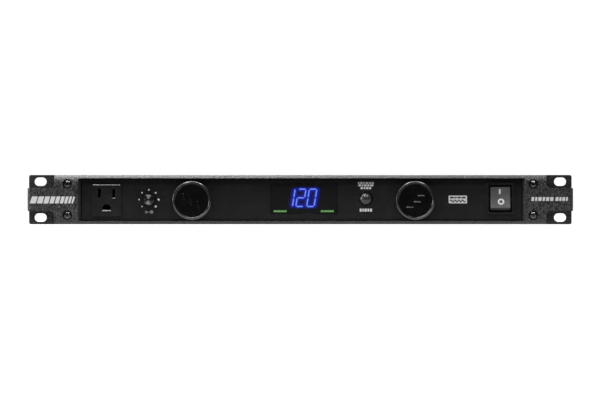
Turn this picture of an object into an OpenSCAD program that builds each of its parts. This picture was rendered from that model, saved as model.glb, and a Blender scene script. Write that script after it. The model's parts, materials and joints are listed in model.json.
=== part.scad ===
// Rack power conditioner, one rack unit high, with two pull-out lights, a voltage meter and a dimmer.
// Frame: origin in the middle of the rack slots on the plane where the ears meet the rack rails,
// +X to the right seen from the front, +Y to the rear, +Z up. The front faces -Y. Millimetres.

/* [Faceplate] */
// Width across the rack ears
rack_w = 482.6; // [481:0.1:483]
// Height of the faceplate, one rack unit less its gap
panel_h = 43.7; // [43.2:0.1:44.4]
// Thickness of the raised block of each ear
ear_t = 9; // [8:0.1:11]
// Thickness of the tabs that the rack screws clamp
tab_t = 3; // [2.5:0.1:3.5]
// Radius that rounds the long front edges
edge_r = 7; // [5:0.1:7.5]
// Width of the window between the ears
window_w = 391; // [388:0.1:392]
// Middle of the window, distance right of centre
window_x = 1.2; // [0:0.1:1.5]
// Height of the window between the rails
window_h = 37.6; // [37:0.1:38]

/* [Rack slots] */
// Distance between the slot columns
slot_span_x = 460; // [458:0.1:461]
// Distance between the slot rows
slot_span_z = 31.75; // [31.7:0.05:31.8]
// Slot length, end to end
slot_len = 10.8; // [10:0.1:13]
// Slot height
slot_h = 7.5; // [6.5:0.1:8.6]

/* [Chassis] */
// Width over the top cover's side flanges
case_w = 432; // [430:0.5:434]
// Height of the chassis with its cover
case_h = 42; // [41.5:0.1:43]
// Depth of the chassis behind the rack plane
case_d = 257.7; // [254:0.1:262]
// Sheet steel thickness
sheet = 1.2; // [1:0.1:1.5]
// Thickness of the moulded front panel inside the window
panel_t = 3.5; // [3:0.1:4]

/* [Front controls] */
// Front outlet, distance right of centre
outlet_x = -171.4; // [-172:0.1:-170]
// Front outlet, height above centre
outlet_z = -0.7; // [-1:0.1:0]
// Dimmer, distance right of centre
dimmer_x = -134.1; // [-135:0.1:-133]
// Left light, distance right of centre
left_light_x = -95.8; // [-97:0.1:-95]
// Right light, distance right of centre
right_light_x = 101.7; // [101:0.1:103]
// Both lights, height above centre
light_z = -0.8; // [-0.9:0.1:0]
// Meter window, distance right of centre
meter_x = 3.3; // [2:0.1:4]
// Meter window, height above centre
meter_z = 0.6; // [0:0.1:1]
// Meter button, distance right of centre
button_x = 58; // [57:0.1:59]
// Breaker, distance right of centre
breaker_x = 177; // [175:0.1:177.5]
// Breaker, height above centre
breaker_z = 1; // [0.6:0.1:1.2]

/* [Pull-out lights] */
// Radius of the pull knob
knob_r = 17; // [16.8:0.1:17.8]
// Depth of the pull knob in front of the panel
knob_len = 6.5; // [5:0.1:9]
// Outer radius of the light tube
tube_r = 13.6; // [13:0.1:13.8]
// Wall of the light tube
tube_wall = 1.5; // [1.2:0.1:1.8]
// How far a light pulls out
light_travel = 114; // [100:1:116]

/* [Rear panel] */
// Distance between the rear outlets
rear_outlet_pitch = 40; // [36:0.5:40]
// First rear outlet, distance right of centre
rear_outlet_x0 = -186; // [-190:1:-184]
// Lamp socket, distance right of centre
lamp_socket_x = 126; // [124:1:128]
// Lamp switch, distance right of centre
lamp_switch_x = 152; // [150:1:154]
// Cord gland, distance right of centre
gland_x = 190; // [186:1:192]

/* [Hidden] */
$fn = 72;

// Clearances
run_gap = 0.05;
free_gap = 0.2;
eps = 0.01;

// Faceplate details
pocket_x = 217.6;
pocket_z = 10.2;
pocket_r = 4;
setback = 1.1;
outer_r = 3.5;
bevel_x = 2.4;
screw_x = 206;
screw_z = 13.8;
screw_r = 2;
screw_head_r = 3.4;
screw_head_h = 2.2;
screw_len = 14;
counterbore_r = 4.3;
counterbore_y = -6.6;

// Chassis details
panel_y = -panel_t;
floor_z = -case_h / 2 + sheet;
cover_z = case_h / 2 - sheet;
wall_x = case_w / 2 - sheet;
rear_y = case_d - sheet;
panel_gap = 0.8;
flange_h = 12;
rear_lip = 8;
side_screw_y = [30, 130, 250];
side_screw_z = 15;
side_screw_r = 1.5;
side_screw_head_r = 2.8;
side_screw_head_h = 1.6;
side_screw_len = 5;
vent_count = 12;
vent_pitch = 7;
vent_w = 3;
vent_h = 18;
vent_y0 = 60;

// Outlet: face and body sizes, blade slots and ground hole
rear_outlet_count = 8;
outlet_face_w = 26;
outlet_face_h = 28.5;
outlet_proud = 1.2;
outlet_body_w = 24;
outlet_body_h = 26;
outlet_body_d = 22;
blade_x = 6.35;
blade_z = 6.3;
slot_w = 2.6;
neutral_h = 8.4;
hot_h = 7.4;
ground_r = 3.9;
ground_z = -7.3;
ground_flat = 1;
contact_y0 = 4;
contact_y1 = 17;
slot_depth = 14;
strip_t = 0.5;
strip_gap = 1.7;
ground_strip_gap = 4.7;
ground_strip_h = 2.8;
ground_strip_dz = 1.1;

// Dimmer
dimmer_hole_r = 5.9;
dimmer_knob_r = 5.25;
dimmer_knob_y0 = -12.4;
dimmer_knob_y1 = -2.9;
shaft_r = 3;
bushing_r = 3.5;
flute_count = 18;
flute_r = 0.5;
pot_r = 8.2;
pot_y1 = 12;
hex_nut_h = 2.2;
dimmer_nut_r = 5.2;

// Meter
window_face_w = 59.4;
window_face_h = 26.4;
window_t = 1.8;
window_proud = 0.3;
display_x = 0.5;
display_z = 1.6;
display_w = 36;
display_h = 20;
display_y = -1.5;
digit_w = 8.2;
digit_h = 17;
digit_pitch = 9.6;
digit_slant = 9;
stroke = 1.6;
segment_gap = 0.35;
segment_t = 0.25;
board_y = 9.6;
board_t = 1.6;
light_bar_w = 12.4;
light_bar_h = 1.5;
light_bar_z = -10.3;
light_bar_x = [-17.9, 23.8];
meter_board_x0 = -30;
meter_board_x1 = 68;
meter_board_h = 28;
meter_post_inset = 2;
meter_post_z = 11.5;
post_r = 2;

// Meter button
button_z = 0.6;
button_r = 4.9;
button_y0 = -6.4;
button_travel = 1.2;
button_crown_r = 14;
collar_r = 6.2;
collar_proud = 0.8;
stem_r = 1.8;
stem_y1 = 5;
switch_w = 8;
switch_y0 = 3.2;

// Rocker switches: [bezel w, bezel h, opening w, opening h, wall, depth]
breaker_size = [25, 28.2, 20.2, 24, 1.1, 26];
lamp_switch_size = [15, 21, 11, 16.6, 1, 16];
// Rockers: [width, end radius, half length, dip in the middle, rest tilt in degrees]
breaker_rock = [17.4, 11.2, 9.35, 1.7, 12];
lamp_switch_rock = [9.8, 7.4, 6.2, 1.1, 12];
rocker_pivot_y = 3.8;
rocker_pivot_drop = 0.3;
pivot_r = 1.5;
bezel_t = 1.5;
terminal_z = 7;
terminal_w = 6.3;
terminal_t = 0.8;
terminal_len = 10;

// Lights, along Y from the front panel back
collar_y1 = 18;
collar_wall = 1.3;
guide_r = tube_r + run_gap + collar_wall + run_gap;
guide_wall = 1.4;
guide_y1 = 152;
tube_y1 = collar_y1 + light_travel;
end_wall = 5;
hub_r = 5;
hub_head_r = 6.5;
carriage_len = 10;
knob_y1 = panel_y - 0.9;
knob_y0 = knob_y1 - knob_len;
dish = 0.7;
lens_y0 = 6;
lens_y1 = 86;
lens_half_angle = 35;
led_count = 6;
led_size = 5;
led_h = 1.4;
led_board_w = 23.9;
carriage_bore_r = 2;
guide_flange = 1.6;
collar_flange = 1.8;
grip_w = 6.4;
grip_h = 1.1;
grip_step = 5.1;
left_grip_turn = 20;
right_grip_turn = 0;

// Rear fittings
gland_neck_r = 8;
gland_bore_r = 5;
gland_inner = 8;
socket_r = 4.8;
socket_len = 11;
socket_flange_r = 7;
socket_slot_r = [2.4, 4.05];
socket_slot_y = -2.5;
socket_nut_r = 8;
lug_r = 1;
lug_span = 11.4;
lug_y = -7;

// Inside
board_x0 = -62;
board_x1 = 72;
board_y0 = 60;
board_y1 = 190;
board_z = -13.8;
board_top = board_z + board_t;
board_hole_inset = 5;
board_hole_r = 1.6;
standoff_r = 3;
choke_ring_r = 14;
choke_core_r = 5;
choke_wound_r = 6.6;
capacitor_count = 3;
capacitor_size = [31, 13, 22];
varistor_count = 4;
varistor_r = 8.5;
varistor_t = 4.4;
varistor_lead_r = 0.5;
relay_size = [29, 12.6, 16];
wire_r = 1.4;
wire_y1 = case_d - gland_inner - 3.5;

// Shared helpers

module box(x0, x1, y0, y1, z0, z1) {
    translate([x0, y0, z0])
        cube([x1 - x0, y1 - y0, z1 - z0]);
}

// Flat outline in (x, z), given thickness from y0 to y1
module plate_y(y0, y1) {
    translate([0, y1, 0])
        rotate([90, 0, 0])
            linear_extrude(y1 - y0)
                children();
}

// Flat outline in (y, z), drawn out from x0 to x1
module bar_x(x0, x1) {
    translate([x0, 0, 0])
        rotate([90, 0, 90])
            linear_extrude(x1 - x0)
                children();
}

module rod_y(r, y0, y1) {
    translate([0, y0, 0])
        rotate([-90, 0, 0])
            cylinder(r = r, h = y1 - y0);
}

module ring_y(r_in, r_out, y0, y1) {
    difference() {
        rod_y(r_out, y0, y1);
        rod_y(r_in, y0 - 1, y1 + 1);
    }
}

// Profile in (radius, y), turned about the Y axis
module turned_y() {
    rotate([-90, 0, 0])
        rotate_extrude()
            children();
}

module round_rect(w, h, r) {
    square([w - 2 * r, h], center = true);
    square([w, h - 2 * r], center = true);
    for (sx = [-1, 1], sz = [-1, 1])
        translate([sx * (w / 2 - r), sz * (h / 2 - r)])
            circle(r = r);
}

module obround(len, h) {
    square([len - h, h], center = true);
    for (s = [-1, 1])
        translate([s * (len - h) / 2, 0])
            circle(d = h);
}

module at_front(x, z) {
    translate([x, 0, z])
        children();
}

// Turned to face the rear, with its panel plane on the rear panel's outer face
module at_rear(x) {
    translate([x, case_d, 0])
        rotate([0, 0, 180])
            children();
}

module at_faceplate_screws() {
    for (sx = [-1, 1], sz = [-1, 1])
        translate([sx * screw_x, 0, sz * screw_z])
            children();
}

module at_side_screws() {
    for (side = [-1, 1], y = side_screw_y)
        translate([side * case_w / 2, y, side_screw_z])
            rotate([0, 0, 90 * side])
                children();
}

module pan_screw(head_r, head_h, shank_r, shank_len) {
    dome_r = 1.55 * head_r;
    cross_w = 0.26 * head_r;
    cross_len = 1.1 * head_r;
    difference() {
        intersection() {
            rod_y(head_r, -head_h, 0);
            translate([0, dome_r - head_h, 0])
                sphere(r = dome_r);
        }
        for (turn = [45, 135])
            rotate([0, turn, 0])
                box(-cross_len / 2, cross_len / 2, -head_h - 1, -head_h * 0.45, -cross_w / 2, cross_w / 2);
    }
    rod_y(shank_r, -eps, shank_len);
}

// Hexagon nut standing in front of the plane y = 0, its hole not yet cut
module hex_nut(corner_r) {
    translate([0, -hex_nut_h, 0])
        rotate([-90, 0, 0])
            cylinder(r = corner_r, h = hex_nut_h, $fn = 6);
}

// Faceplate and chassis

// (y, z) section of the faceplate: flat back, both long front edges rounded
module faceplate_section() {
    half = panel_h / 2;
    translate([-ear_t, -half + edge_r])
        square([ear_t, panel_h - 2 * edge_r]);
    translate([edge_r - ear_t, -half])
        square([ear_t - edge_r, panel_h]);
    for (s = [-1, 1])
        intersection() {
            translate([edge_r - ear_t, s * (half - edge_r)])
                circle(r = edge_r);
            translate([-ear_t, -half])
                square([ear_t, panel_h]);
        }
}

// (x, y) plan of the faceplate: rounded outer ends, bevelled window sides
module faceplate_plan() {
    difference() {
        union() {
            translate([-rack_w / 2 + outer_r, -ear_t])
                square([rack_w - 2 * outer_r, ear_t]);
            translate([-rack_w / 2, outer_r - ear_t])
                square([rack_w, ear_t - outer_r]);
            for (s = [-1, 1])
                translate([s * (rack_w / 2 - outer_r), outer_r - ear_t])
                    circle(r = outer_r);
        }
        translate([-rack_w, 0])
            square([2 * rack_w, ear_t]);
    }
}

// (x, z) outline: the middle of each end stands out past the slotted corners
module faceplate_outline() {
    round_rect(rack_w - 2 * setback, panel_h, 1.8);
    round_rect(rack_w, 2 * pocket_z, 1);
}

module corner_pocket() {
    reach = 60;
    plate_y(-2 * ear_t, -tab_t)
        translate([pocket_x + reach / 2, pocket_z + reach / 2])
            round_rect(reach, reach, pocket_r);
}

module window_cut() {
    plate_y(-2 * ear_t, 1)
        translate([window_x, 0])
            square([window_w, window_h], center = true);
    translate([window_x, 0, -window_h / 2])
        linear_extrude(window_h)
            polygon([
                [-window_w / 2 - bevel_x, -ear_t - eps],
                [-window_w / 2, panel_y],
                [window_w / 2, panel_y],
                [window_w / 2 + bevel_x, -ear_t - eps]
            ]);
}

module faceplate() {
    color([0.10, 0.10, 0.11])
        difference() {
            intersection() {
                bar_x(-rack_w, rack_w)
                    faceplate_section();
                translate([0, 0, -panel_h])
                    linear_extrude(2 * panel_h)
                        faceplate_plan();
                plate_y(-2 * ear_t, 1)
                    faceplate_outline();
            }
            window_cut();
            for (mx = [0, 1], mz = [0, 1])
                mirror([mx, 0, 0])
                    mirror([0, 0, mz])
                        corner_pocket();
            for (sx = [-1, 1], sz = [-1, 1])
                plate_y(-2 * ear_t, 1)
                    translate([sx * slot_span_x / 2, sz * slot_span_z / 2])
                        obround(slot_len, slot_h);
            at_faceplate_screws() {
                rod_y(counterbore_r, -2 * ear_t, counterbore_y);
                rod_y(screw_r + free_gap, -2 * ear_t, 1);
            }
        }
}

module faceplate_screws() {
    color([0.05, 0.05, 0.05])
        at_faceplate_screws()
            translate([0, counterbore_y, 0])
                pan_screw(screw_head_r, screw_head_h, screw_r, screw_len);
}

module front_panel() {
    color([0.07, 0.07, 0.07])
        plate_y(panel_y, 0)
            difference() {
                translate([window_x, 0])
                    square([window_w - 2 * panel_gap, window_h - 2 * panel_gap], center = true);
                translate([outlet_x, outlet_z])
                    square([outlet_body_w + 2 * free_gap, outlet_body_h + 2 * free_gap], center = true);
                translate([dimmer_x, 0])
                    circle(r = dimmer_hole_r);
                for (x = [left_light_x, right_light_x])
                    translate([x, light_z])
                        circle(r = guide_r);
                translate([meter_x, meter_z])
                    square([window_face_w + 2 * free_gap, window_face_h + 2 * free_gap], center = true);
                translate([button_x, button_z])
                    circle(r = collar_r);
                translate([breaker_x, breaker_z])
                    rocker_body_outline(breaker_size);
            }
}

// Cut-outs of the chassis front wall, in (x, z)
module front_wall_cuts() {
    translate([outlet_x, outlet_z])
        square([outlet_body_w + 2 * free_gap, outlet_body_h + 2 * free_gap], center = true);
    translate([dimmer_x, 0])
        circle(r = bushing_r + run_gap);
    for (x = [left_light_x, right_light_x])
        translate([x, light_z])
            circle(r = guide_r);
    translate([meter_x, meter_z])
        square([window_face_w - 3, window_face_h - 1], center = true);
    translate([button_x, button_z])
        circle(r = button_r + run_gap);
    translate([breaker_x, breaker_z])
        rocker_body_outline(breaker_size);
    for (sx = [-1, 1], sz = [-1, 1])
        translate([sx * screw_x, sz * screw_z])
            circle(r = screw_r + run_gap);
}

module chassis_tray() {
    color([0.09, 0.09, 0.09])
        difference() {
            union() {
                box(-wall_x, wall_x, 0, case_d, -case_h / 2, floor_z);
                box(-wall_x, -wall_x + sheet, 0, case_d, floor_z, cover_z);
                box(wall_x - sheet, wall_x, 0, case_d, floor_z, cover_z);
                for (side = [-1, 1])
                    translate([side * (wall_x - sheet - rear_lip / 2), 0, 0])
                        box(-rear_lip / 2, rear_lip / 2, rear_y - sheet, rear_y, floor_z, cover_z);
                plate_y(0, sheet)
                    difference() {
                        translate([-wall_x, floor_z])
                            square([2 * wall_x, cover_z - floor_z]);
                        front_wall_cuts();
                    }
            }
            at_side_screws()
                rod_y(side_screw_r + run_gap, -1, 8);
            for (i = [0 : vent_count - 1])
                translate([0, vent_y0 + i * vent_pitch, -4])
                    box(-case_w, case_w, -vent_w / 2, vent_w / 2, -vent_h / 2, vent_h / 2);
        }
}

module rear_panel() {
    panel_x = wall_x - sheet - free_gap;
    color([0.09, 0.09, 0.09])
        difference() {
            box(-panel_x, panel_x, rear_y, case_d, floor_z, cover_z);
            for (i = [0 : rear_outlet_count - 1])
                at_rear(rear_outlet_x0 + i * rear_outlet_pitch)
                    plate_y(-1, 5)
                        square([outlet_body_w + 2 * free_gap, outlet_body_h + 2 * free_gap], center = true);
            at_rear(lamp_socket_x)
                rod_y(socket_r + run_gap, -1, 5);
            at_rear(lamp_switch_x)
                plate_y(-1, 5)
                    rocker_body_outline(lamp_switch_size);
            at_rear(gland_x)
                rod_y(gland_neck_r + run_gap, -1, 5);
        }
}

module top_cover() {
    color([0.09, 0.09, 0.09])
        difference() {
            union() {
                box(-case_w / 2, case_w / 2, 0, case_d, cover_z, case_h / 2);
                for (side = [-1, 1])
                    translate([side * (case_w / 2 - sheet / 2), 0, 0])
                        box(-sheet / 2, sheet / 2, 0, case_d, cover_z - flange_h, cover_z + eps);
            }
            at_side_screws()
                rod_y(side_screw_r + run_gap, -1, 8);
        }
}

module case_screws() {
    color([0.06, 0.06, 0.06])
        at_side_screws()
            pan_screw(side_screw_head_r, side_screw_head_h, side_screw_r, side_screw_len);
}

// Outlets, drawn with the panel plane at y = 0 and facing -Y

module blade_pair_cut(extra, y0, y1) {
    plate_y(y0, y1) {
        translate([-blade_x, blade_z])
            square([slot_w + extra, neutral_h + extra], center = true);
        translate([blade_x, blade_z])
            square([slot_w + extra, hot_h + extra], center = true);
    }
}

module ground_outline(r) {
    intersection() {
        circle(r = r);
        translate([-r, -ground_flat])
            square([2 * r, 2 * r + ground_flat]);
    }
}

module outlet() {
    difference() {
        union() {
            plate_y(-outlet_proud, 0)
                round_rect(outlet_face_w, outlet_face_h, 0.8);
            plate_y(-eps, outlet_body_d)
                square([outlet_body_w, outlet_body_h], center = true);
        }
        blade_pair_cut(0, -5, slot_depth);
        blade_pair_cut(2.2, contact_y0, contact_y1 + 1);
        plate_y(-5, contact_y1 + 1)
            translate([0, ground_z])
                ground_outline(ground_r);
    }
}

// Spring strip folded into a U: two leaves and a back, gap wide inside
module folded_strip(gap, h) {
    for (s = [-1, 1])
        translate([s * (gap + strip_t) / 2, 0, 0])
            box(-strip_t / 2, strip_t / 2, contact_y0 + 1, contact_y1, -h / 2, h / 2);
    box(-gap / 2 - strip_t, gap / 2 + strip_t, contact_y1 - strip_t, contact_y1, -h / 2, h / 2);
}

module contact_set() {
    translate([-blade_x, 0, blade_z])
        folded_strip(strip_gap, neutral_h);
    translate([blade_x, 0, blade_z])
        folded_strip(strip_gap, hot_h);
    translate([0, 0, ground_z + ground_strip_dz])
        folded_strip(ground_strip_gap, ground_strip_h);
}

module front_outlet() {
    color([0.12, 0.12, 0.12])
        at_front(outlet_x, outlet_z)
            translate([0, panel_y, 0])
                outlet();
}

module rear_outlet(number) {
    color([0.12, 0.12, 0.12])
        at_rear(rear_outlet_x0 + (number - 1) * rear_outlet_pitch)
            outlet();
}

module outlet_contacts() {
    color([0.75, 0.6, 0.25]) {
        at_front(outlet_x, outlet_z)
            translate([0, panel_y, 0])
                contact_set();
        for (i = [0 : rear_outlet_count - 1])
            at_rear(rear_outlet_x0 + i * rear_outlet_pitch)
                contact_set();
    }
}

// Dimmer

module dimmer_knob() {
    y0 = dimmer_knob_y0;
    y1 = dimmer_knob_y1;
    color([0.06, 0.06, 0.06])
        at_front(dimmer_x, 0)
            difference() {
                turned_y()
                    polygon([
                        [0, y0 + 0.4], [dimmer_knob_r - 1.4, y0 + 0.4], [dimmer_knob_r - 1.2, y0],
                        [dimmer_knob_r - 0.7, y0], [dimmer_knob_r - 0.3, y0 + 0.5],
                        [dimmer_knob_r, y1], [0, y1]
                    ]);
                for (i = [0 : flute_count - 1])
                    rotate([0, i * 360 / flute_count, 0])
                        translate([0, 0, dimmer_knob_r + 0.15])
                            rod_y(flute_r, y0 - 1, y1 - 1.6);
                rod_y(shaft_r, y0 + 2, y1 + 1);
            }
}

module dimmer_shaft() {
    color([0.7, 0.7, 0.7])
        at_front(dimmer_x, 0)
            rod_y(shaft_r, dimmer_knob_y0 + 2, 6);
}

module dimmer_pot() {
    color([0.3, 0.3, 0.32])
        at_front(dimmer_x, 0)
            difference() {
                union() {
                    rod_y(bushing_r, -2.6, sheet);
                    rod_y(pot_r, sheet, pot_y1);
                    box(-4, 4, 6, 7.6, -15, -6);
                }
                rod_y(shaft_r + run_gap, -5, 6.4);
            }
}

module dimmer_nut() {
    color([0.6, 0.6, 0.6])
        at_front(dimmer_x, 0)
            difference() {
                hex_nut(dimmer_nut_r);
                rod_y(bushing_r, -5, 5);
            }
}

// Meter

module meter_window() {
    color([0.05, 0.05, 0.07, 0.6])
        at_front(meter_x, meter_z)
            plate_y(panel_y - window_proud, panel_y - window_proud + window_t)
                round_rect(window_face_w, window_face_h, 0.8);
}

module meter_display() {
    color([0.04, 0.04, 0.05])
        at_front(display_x, display_z)
            box(-display_w / 2, display_w / 2, display_y, board_y, -display_h / 2, display_h / 2);
}

// Point of a slanted digit
function slanted(x, z) = [x + z * tan(digit_slant), z];

// Bar of one segment with pointed ends, along x or along z, about (cx, cz)
module segment(cx, cz, len, upright) {
    a = len / 2 - segment_gap;
    b = a - stroke / 2;
    c = stroke / 2;
    outline = [[-a, 0], [-b, c], [b, c], [a, 0], [b, -c], [-b, -c]];
    polygon([for (p = outline) upright ? slanted(cx + p[1], cz + p[0]) : slanted(cx + p[0], cz + p[1])]);
}

// Lit bars of a digit: one flag for each of the bars a to g
module digit(lit) {
    half_w = digit_w / 2 - stroke / 2;
    half_h = digit_h / 2 - stroke / 2;
    if (lit[0])
        segment(0, half_h, 2 * half_w, false);
    if (lit[1])
        segment(half_w, half_h / 2, half_h, true);
    if (lit[2])
        segment(half_w, -half_h / 2, half_h, true);
    if (lit[3])
        segment(0, -half_h, 2 * half_w, false);
    if (lit[4])
        segment(-half_w, -half_h / 2, half_h, true);
    if (lit[5])
        segment(-half_w, half_h / 2, half_h, true);
    if (lit[6])
        segment(0, 0, 2 * half_w, false);
}

digits_shown = [
    [false, true, true, false, false, false, false],
    [true, true, false, true, true, false, true],
    [true, true, true, true, true, true, false]
];

module display_segments() {
    color([0.15, 0.3, 1])
        at_front(display_x, display_z)
            plate_y(display_y - segment_t, display_y)
                for (i = [0 : 2])
                    translate([(i - 1) * digit_pitch, 0])
                        digit(digits_shown[i]);
}

module meter_board() {
    color([0.1, 0.35, 0.15])
        plate_y(board_y, board_y + board_t)
            translate([meter_board_x0, -meter_board_h / 2])
                square([meter_board_x1 - meter_board_x0, meter_board_h]);
}

module status_lights() {
    color([0.2, 0.8, 0.3])
        for (x = light_bar_x)
            at_front(x, light_bar_z)
                box(-light_bar_w / 2, light_bar_w / 2, display_y, board_y, -light_bar_h / 2, light_bar_h / 2);
}

module meter_button() {
    color([0.35, 0.35, 0.35])
        at_front(button_x, button_z) {
            intersection() {
                rod_y(button_r, button_y0, -0.6);
                translate([0, button_y0 + button_crown_r, 0])
                    sphere(r = button_crown_r);
            }
            rod_y(stem_r, -0.7, stem_y1);
        }
}

module button_collar() {
    color([0.05, 0.05, 0.05])
        at_front(button_x, button_z)
            ring_y(button_r + run_gap, collar_r, panel_y - collar_proud, 0);
}

module button_switch() {
    color([0.15, 0.15, 0.15])
        at_front(button_x, button_z)
            difference() {
                box(-switch_w / 2, switch_w / 2, switch_y0, board_y, -switch_w / 2, switch_w / 2);
                rod_y(stem_r + run_gap, 0, stem_y1 + button_travel + 0.6);
            }
}

// Rocker switches, drawn with the panel plane at y = 0 and facing -Y

module rocker_body_outline(size) {
    square([size[2] + 2 * size[4], size[3] + 2 * size[4]], center = true);
}

module rocker_housing(size) {
    difference() {
        union() {
            plate_y(-bezel_t, 0)
                round_rect(size[0], size[1], 1);
            plate_y(-eps, size[5])
                rocker_body_outline(size);
        }
        plate_y(-5, 13)
            square([size[2], size[3]], center = true);
        translate([0, rocker_pivot_y, -rocker_pivot_drop])
            rotate([0, 90, 0])
                cylinder(r = pivot_r + run_gap, h = 2 * size[0], center = true);
    }
}

// (y, z) section of a rocker about its pivot: a shallow V in front, ends round about the pivot
module rocker_section(rock) {
    end_r = rock[1];
    half = rock[2];
    tip = -sqrt(end_r * end_r - half * half);
    intersection() {
        circle(r = end_r);
        polygon([[tip, half], [tip + rock[3], 0], [tip, -half], [4, -end_r], [4, end_r]]);
    }
}

module rocker(size, rock) {
    pin_x = size[2] / 2 + size[4] - 0.2;
    translate([0, rocker_pivot_y, -rocker_pivot_drop])
        rotate([-rock[4], 0, 0]) {
            bar_x(-rock[0] / 2, rock[0] / 2)
                rocker_section(rock);
            rotate([0, 90, 0])
                cylinder(r = pivot_r, h = 2 * pin_x, center = true);
        }
}

module breaker_rocker() {
    color([0.2, 0.2, 0.2])
        at_front(breaker_x, breaker_z)
            translate([0, panel_y, 0])
                rocker(breaker_size, breaker_rock);
}

module breaker_housing() {
    color([0.06, 0.06, 0.06])
        at_front(breaker_x, breaker_z)
            translate([0, panel_y, 0])
                rocker_housing(breaker_size);
}

module breaker_terminals() {
    color([0.8, 0.65, 0.3])
        at_front(breaker_x, breaker_z)
            for (s = [-1, 1])
                translate([0, panel_y + breaker_size[5], s * terminal_z])
                    box(-terminal_w / 2, terminal_w / 2, 0, terminal_len, -terminal_t / 2, terminal_t / 2);
}

module lamp_switch_housing() {
    color([0.06, 0.06, 0.06])
        at_rear(lamp_switch_x)
            rocker_housing(lamp_switch_size);
}

module lamp_switch_rocker() {
    color([0.1, 0.1, 0.1])
        at_rear(lamp_switch_x)
            rocker(lamp_switch_size, lamp_switch_rock);
}

// Pull-out lights, drawn about the light's own axis

module grip_bars(turn) {
    rotate([0, turn, 0])
        for (i = [-1 : 1])
            translate([i * grip_step, 0, i * grip_step])
                box(-grip_w / 2, grip_w / 2, knob_y0 + 0.1, knob_y0 + dish + eps, -grip_h / 2, grip_h / 2);
}

module light_knob(turn) {
    color([0.04, 0.04, 0.04]) {
        turned_y()
            polygon([
                [0, knob_y0 + dish], [knob_r - 2.3, knob_y0 + dish], [knob_r - 1.9, knob_y0],
                [knob_r - 1.3, knob_y0], [knob_r, knob_y0 + 1.5], [knob_r, knob_y1 - 0.8],
                [knob_r - 0.8, knob_y1], [tube_r - tube_wall, knob_y1],
                [tube_r - tube_wall, knob_y1 + 6], [0, knob_y1 + 6]
            ]);
        grip_bars(turn);
    }
}

// Sector of the tube wall that faces down, where the lens sits
module lens_sector(r_in, r_out, y0, y1, half_angle) {
    translate([0, y0, 0])
        rotate([-90, 0, 0])
            rotate([0, 0, 90 - half_angle])
                rotate_extrude(angle = 2 * half_angle)
                    translate([r_in, 0])
                        square([r_out - r_in, y1 - y0]);
}

module light_tube() {
    color([0.08, 0.08, 0.08])
        difference() {
            union() {
                ring_y(tube_r - tube_wall, tube_r, knob_y1, tube_y1);
                ring_y(hub_r + run_gap, tube_r - tube_wall + eps, tube_y1 - end_wall, tube_y1);
            }
            lens_sector(tube_r - tube_wall - 2, tube_r + 2, lens_y0, lens_y1, lens_half_angle);
        }
}

module light_lens() {
    color([0.9, 0.9, 0.95, 0.6])
        lens_sector(tube_r - tube_wall, tube_r, lens_y0 + run_gap, lens_y1 - run_gap, lens_half_angle - 0.4);
}

module led_board() {
    led_pitch = (lens_y1 - lens_y0) / led_count;
    color([0.9, 0.9, 0.85]) {
        box(-led_board_w / 2, led_board_w / 2, lens_y0 - 3, lens_y1 + 3, 0, board_t);
        for (i = [0 : led_count - 1])
            translate([0, lens_y0 + (i + 0.5) * led_pitch, 0])
                box(-led_size / 2, led_size / 2, -led_size / 2, led_size / 2, -led_h, eps);
    }
}

module carriage() {
    y0 = tube_y1 + 0.4;
    color([0.8, 0.8, 0.78])
        difference() {
            union() {
                rod_y(guide_r - run_gap, y0, y0 + carriage_len);
                rod_y(hub_r, tube_y1 - end_wall - 1, y0 + eps);
                rod_y(hub_head_r, tube_y1 - end_wall - 3.4, tube_y1 - end_wall - 0.4);
            }
            rod_y(carriage_bore_r, 0, guide_y1);
        }
}

module guide_tube() {
    color([0.15, 0.15, 0.15])
        union() {
            ring_y(guide_r, guide_r + guide_wall, sheet, guide_y1);
            ring_y(guide_r, guide_r + guide_wall + guide_flange, sheet, sheet + guide_flange);
        }
}

module guide_collar() {
    color([0.05, 0.05, 0.05])
        union() {
            ring_y(tube_r + run_gap, guide_r, panel_y, collar_y1);
            ring_y(tube_r + run_gap, guide_r + collar_flange, panel_y - 0.5, panel_y);
        }
}

// Rear fittings

module cord_gland() {
    color([0.05, 0.05, 0.05])
        at_rear(gland_x)
            difference() {
                turned_y()
                    polygon([
                        [0, -13], [7, -13], [8.2, -4.5], [10.5, -3.5], [10.5, 0], [gland_neck_r, 0],
                        [gland_neck_r, 3.4], [10.5, 4.2], [10.5, gland_inner], [0, gland_inner]
                    ]);
                rod_y(gland_bore_r, -20, 20);
            }
}

module lamp_socket() {
    color([0.75, 0.75, 0.75])
        at_rear(lamp_socket_x)
            difference() {
                union() {
                    rod_y(socket_r, -socket_len, 14);
                    rod_y(socket_flange_r, sheet, sheet + 2);
                    translate([0, lug_y, 0])
                        rotate([0, 90, 0])
                            cylinder(r = lug_r, h = lug_span, center = true);
                }
                difference() {
                    rod_y(socket_slot_r[1], -socket_len - 1, socket_slot_y);
                    rod_y(socket_slot_r[0], -socket_len - 1, 0);
                }
                rod_y(0.7, -socket_len - 1, socket_slot_y);
            }
}

module lamp_socket_nut() {
    color([0.7, 0.7, 0.7])
        at_rear(lamp_socket_x)
            difference() {
                hex_nut(socket_nut_r);
                rod_y(socket_r, -5, 5);
            }
}

// Inside: filter board and what stands on it

module at_board_holes(z) {
    x = [board_x0 + board_hole_inset, board_x1 - board_hole_inset];
    y = [board_y0 + board_hole_inset, board_y1 - board_hole_inset];
    for (i = [0, 1], j = [0, 1])
        translate([x[i], y[j], z])
            children();
}

module filter_board() {
    color([0.1, 0.35, 0.15])
        difference() {
            box(board_x0, board_x1, board_y0, board_y1, board_z, board_top);
            at_board_holes(board_z - 1)
                cylinder(r = board_hole_r, h = 4);
        }
}

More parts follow.
